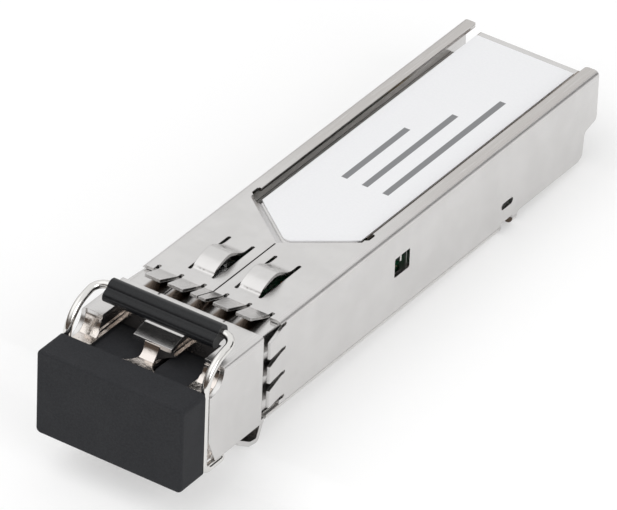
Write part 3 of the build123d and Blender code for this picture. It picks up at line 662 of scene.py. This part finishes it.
white_ceramic().cover("transmitter_stub", "receiver_stub")
amber_tail().cover("transmitter_flex", "receiver_flex")

# %% [markdown]
# ## The floor
#
# The module lies on white paper. It leans a little, because the release lever's heel
# touches the paper in front of the rear edge. In front of the heel the paper sags, so
# that the bail has room when it is opened. A flat floor would cut through the wire. The
# camera and the metal see the paper a little brighter than it is lit, which keeps the
# ground white and still leaves the soft shadow in it.

# %% Lay the floor
HEEL = Vector((0, -0.15, -1.5)) * MM
REAR_EDGE = Vector((0, 36.5, 0)) * MM
FLOOR_HALF = 1.5
SAG_START, SAG_END = -0.4 * MM, -4.1 * MM
SAG_DEPTH = 1.7 * MM
SAG_STRIPS = 12


def stage_sheet(name, spots, faces):
    """A piece of the stage, from its corner points."""
    mesh = bpy.data.meshes.new(name)
    mesh.from_pydata(spots, [], faces)
    sheet = bpy.data.objects.new(name, mesh)
    bpy.context.scene.collection.objects.link(sheet)
    return sheet


def floor_spots(slope):
    """Pairs of points along the slope, from the rear to the front."""
    normal = Vector((1, 0, 0)).cross(slope)
    side = Vector((FLOOR_HALF, 0, 0))
    steps = [SAG_START + (SAG_END - SAG_START) * index / SAG_STRIPS for index in range(SAG_STRIPS + 1)]
    spots = []
    for along in [FLOOR_HALF] + steps + [-FLOOR_HALF]:
        share = min(max((SAG_START - along) / (SAG_START - SAG_END), 0.0), 1.0)
        middle = HEEL + slope * along - normal * SAG_DEPTH * share * share * (3 - 2 * share)
        spots += [middle - side, middle + side]
    return spots


slope = (REAR_EDGE - HEEL).normalized()
strips = [(2 * row, 2 * row + 2, 2 * row + 3, 2 * row + 1) for row in range(SAG_STRIPS + 2)]
floor = stage_sheet("floor", floor_spots(slope), strips)
floor.data.shade_smooth()
print("lean in degrees:", round(math.degrees(math.asin(slope.z)), 2))

# %% Give the floor its paper
PAPER_WHITE = (0.9, 0.9, 0.9, 1.0)
GLOW = 1.29
GLOW_SHARE = 0.28


def floor_paper():
    """White paper that the camera and the metal see a little brighter than it is lit."""
    finish = Finish("floor_paper", base_color=PAPER_WHITE, roughness=0.9, specular_ior_level=0.1)
    seen = sum((finish.node("ShaderNodeLightPath", {}, {}, f"Is {kind} Ray")
                for kind in ("Camera", "Glossy", "Transmission")), 0.0)
    glow = finish.node("ShaderNodeEmission", {}, {"Color": 1.0, "Strength": GLOW})
    paper = Value(finish, finish.shader.outputs[0])
    mixed = finish.node("ShaderNodeMixShader", {}, {0: seen.least(1.0) * GLOW_SHARE, 1: paper, 2: glow})
    finish.links.new(mixed.socket, finish.nodes["Material Output"].inputs["Surface"])
    finish.material.cycles.emission_sampling = "NONE"
    return finish.material


floor.data.materials.append(floor_paper())
print("the floor wears", floor.data.materials[0].name)

# %% [markdown]
# ## The black card
#
# Polished metal is a picture of its room. A photographer stands a black card beside it,
# and the card's reflection draws the dark line along the fold. Only mirrors may see the
# card, so the camera, the matt surfaces and the shadows pass it by.

# %% Set the black card
CARD_PLACE = Vector((0.42, 0.50, 0.26))
CARD_BLACK = (0.012, 0.011, 0.010, 1.0)


def black_card(name, middle, half_wide, half_high):
    """A black card that faces the object."""
    turn = Matrix.Translation(middle) @ (-middle).to_track_quat("Z", "Y").to_matrix().to_4x4()
    signs = (-1, -1), (1, -1), (1, 1), (-1, 1)
    spots = [turn @ Vector((wide * half_wide, high * half_high, 0)) for wide, high in signs]
    card = stage_sheet(name, spots, [(0, 1, 2, 3)])
    paint = Finish(name, base_color=CARD_BLACK, roughness=0.9, specular_ior_level=0.1)
    card.data.materials.append(paint.material)
    card.visible_camera = False
    card.visible_diffuse = False
    card.visible_shadow = False
    return card


card = black_card("card_right", CARD_PLACE, 0.22, 0.15)
print("card stands off by", round(CARD_PLACE.length, 2), "m")

# %% [markdown]
# ## The lamps
#
# A large soft lamp above on the left makes the soft shadow on the right. Seen in the
# metal at its full strength it would burn out the highlights, so that lamp lights only
# matt surfaces, and a weaker one in front of it is what the metal mirrors. A small lamp
# on the right lifts the plug's side.

# %% Light the room
ABOVE = Vector((-0.28, -0.30, 0.58))
IN_FRONT = 0.95
RIGHT = Vector((0.55, -0.20, 0.30))
ABOVE_SIZE = 0.76
RIGHT_SIZE = 0.40


def soft_lamp(name, middle, size, power):
    """A square lamp that points at the object."""
    lamp = bpy.data.lights.new(name, "AREA")
    lamp.shape = "SQUARE"
    lamp.size = size
    lamp.energy = power
    carrier = bpy.data.objects.new(name, lamp)
    carrier.location = middle
    carrier.rotation_euler = middle.to_track_quat("Z", "Y").to_euler()
    bpy.context.scene.collection.objects.link(carrier)
    print(name, "of", power, "W")
    return carrier


soft_lamp("lamp_above", ABOVE, ABOVE_SIZE, 1.6).visible_glossy = False
soft_lamp("lamp_shine", ABOVE * IN_FRONT, ABOVE_SIZE, 0.6)
soft_lamp("lamp_right", RIGHT, RIGHT_SIZE, 1.3)

# %% [markdown]
# ## The walls
#
# The walls are pale and fall off to a dark brown low down near the front. The dark
# front draws the brown that lies under the fingers and the leaf springs. Walls could be
# real planes, but a world colour has no edges that would show in the metal. The camera
# sees it white, and matt surfaces see an even light.

# %% Paint the walls
WALL_DARK = (0.10, 0.078, 0.064)
WALL_WHITE = (1.0, 1.0, 1.0)
WALL_EVEN = (0.64, 0.64, 0.64)
WALL_LOW, WALL_HIGH = -0.03, 0.60
WALL_LEAN = 0.25


def surround():
    """Walls that metal sees in full, the camera sees white and matt surfaces see as even light."""
    world = bpy.data.worlds.new("surround")
    tree = Tree(world)
    x, y, z = tree.split(tree.node("ShaderNodeTexCoord", {}, {}, "Generated"))
    walls = tree.blend(WALL_DARK, WALL_WHITE, (z + y * WALL_LEAN).smooth(WALL_LOW, WALL_HIGH))
    camera_ray = tree.node("ShaderNodeLightPath", {}, {}, "Is Camera Ray")
    diffuse_ray = tree.node("ShaderNodeLightPath", {}, {}, "Is Diffuse Ray")
    shown = tree.blend(tree.blend(walls, WALL_WHITE, camera_ray), WALL_EVEN, diffuse_ray)
    tree.put(tree.nodes["Background"].inputs["Color"], shown)
    world.cycles.sampling_method = "NONE"
    return world


bpy.context.scene.world = surround()
bpy.context.scene.view_settings.view_transform = "Standard"
print("walls:", bpy.context.scene.world.name)
